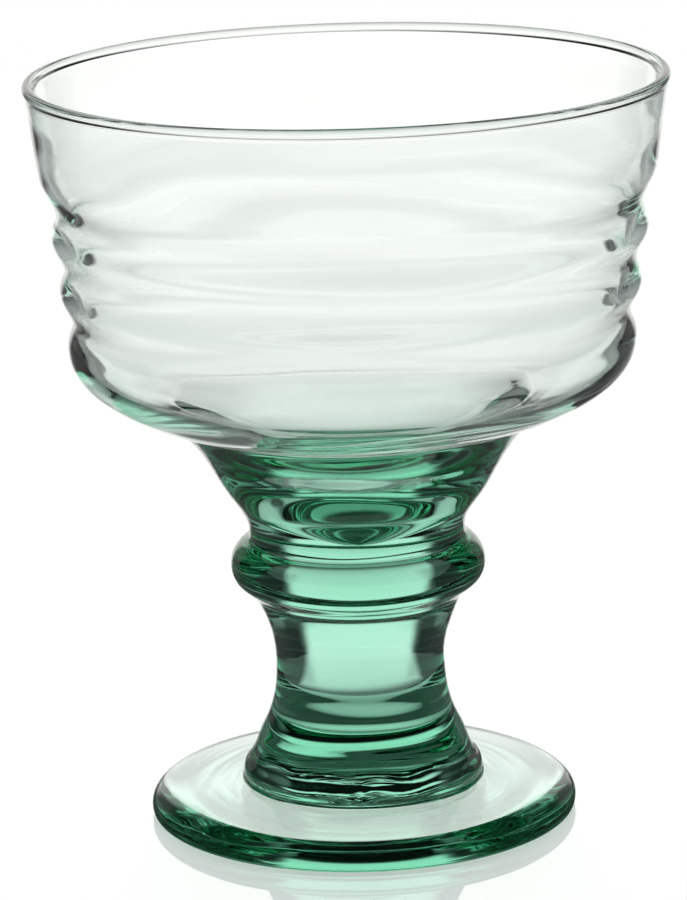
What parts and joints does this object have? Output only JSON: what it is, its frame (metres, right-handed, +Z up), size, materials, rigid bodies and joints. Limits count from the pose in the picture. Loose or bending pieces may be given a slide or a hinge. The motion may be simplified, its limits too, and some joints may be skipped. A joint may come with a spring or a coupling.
{
  "type": "sherbet glass",
  "caption": "Stemmed green glass dish for sherbet or drinks: a wide ringed bowl that narrows to a funnel, a stout knopped stem and a round foot.",
  "frame": {"origin": "centre of the foot's underside, on the table, on the axis of the glass", "axes": "+Z up along the axis of the glass, towards the rim; X and Y are free because the glass is round"},
  "size_m": [0.097, 0.097, 0.1151],
  "materials": {
    "bowl_glass": "clear pale sea-green blown glass, fire-polished",
    "stem_glass": "clear sea-green glass, deep where it is thick, tooled and fire-polished",
    "foot_glass": "clear sea-green pressed glass, fire-polished"
  },
  "bodies": {
    "root": {"bowl": "bowl_glass", "stem": "stem_glass", "foot": "foot_glass"}
  },
  "joints": []
}
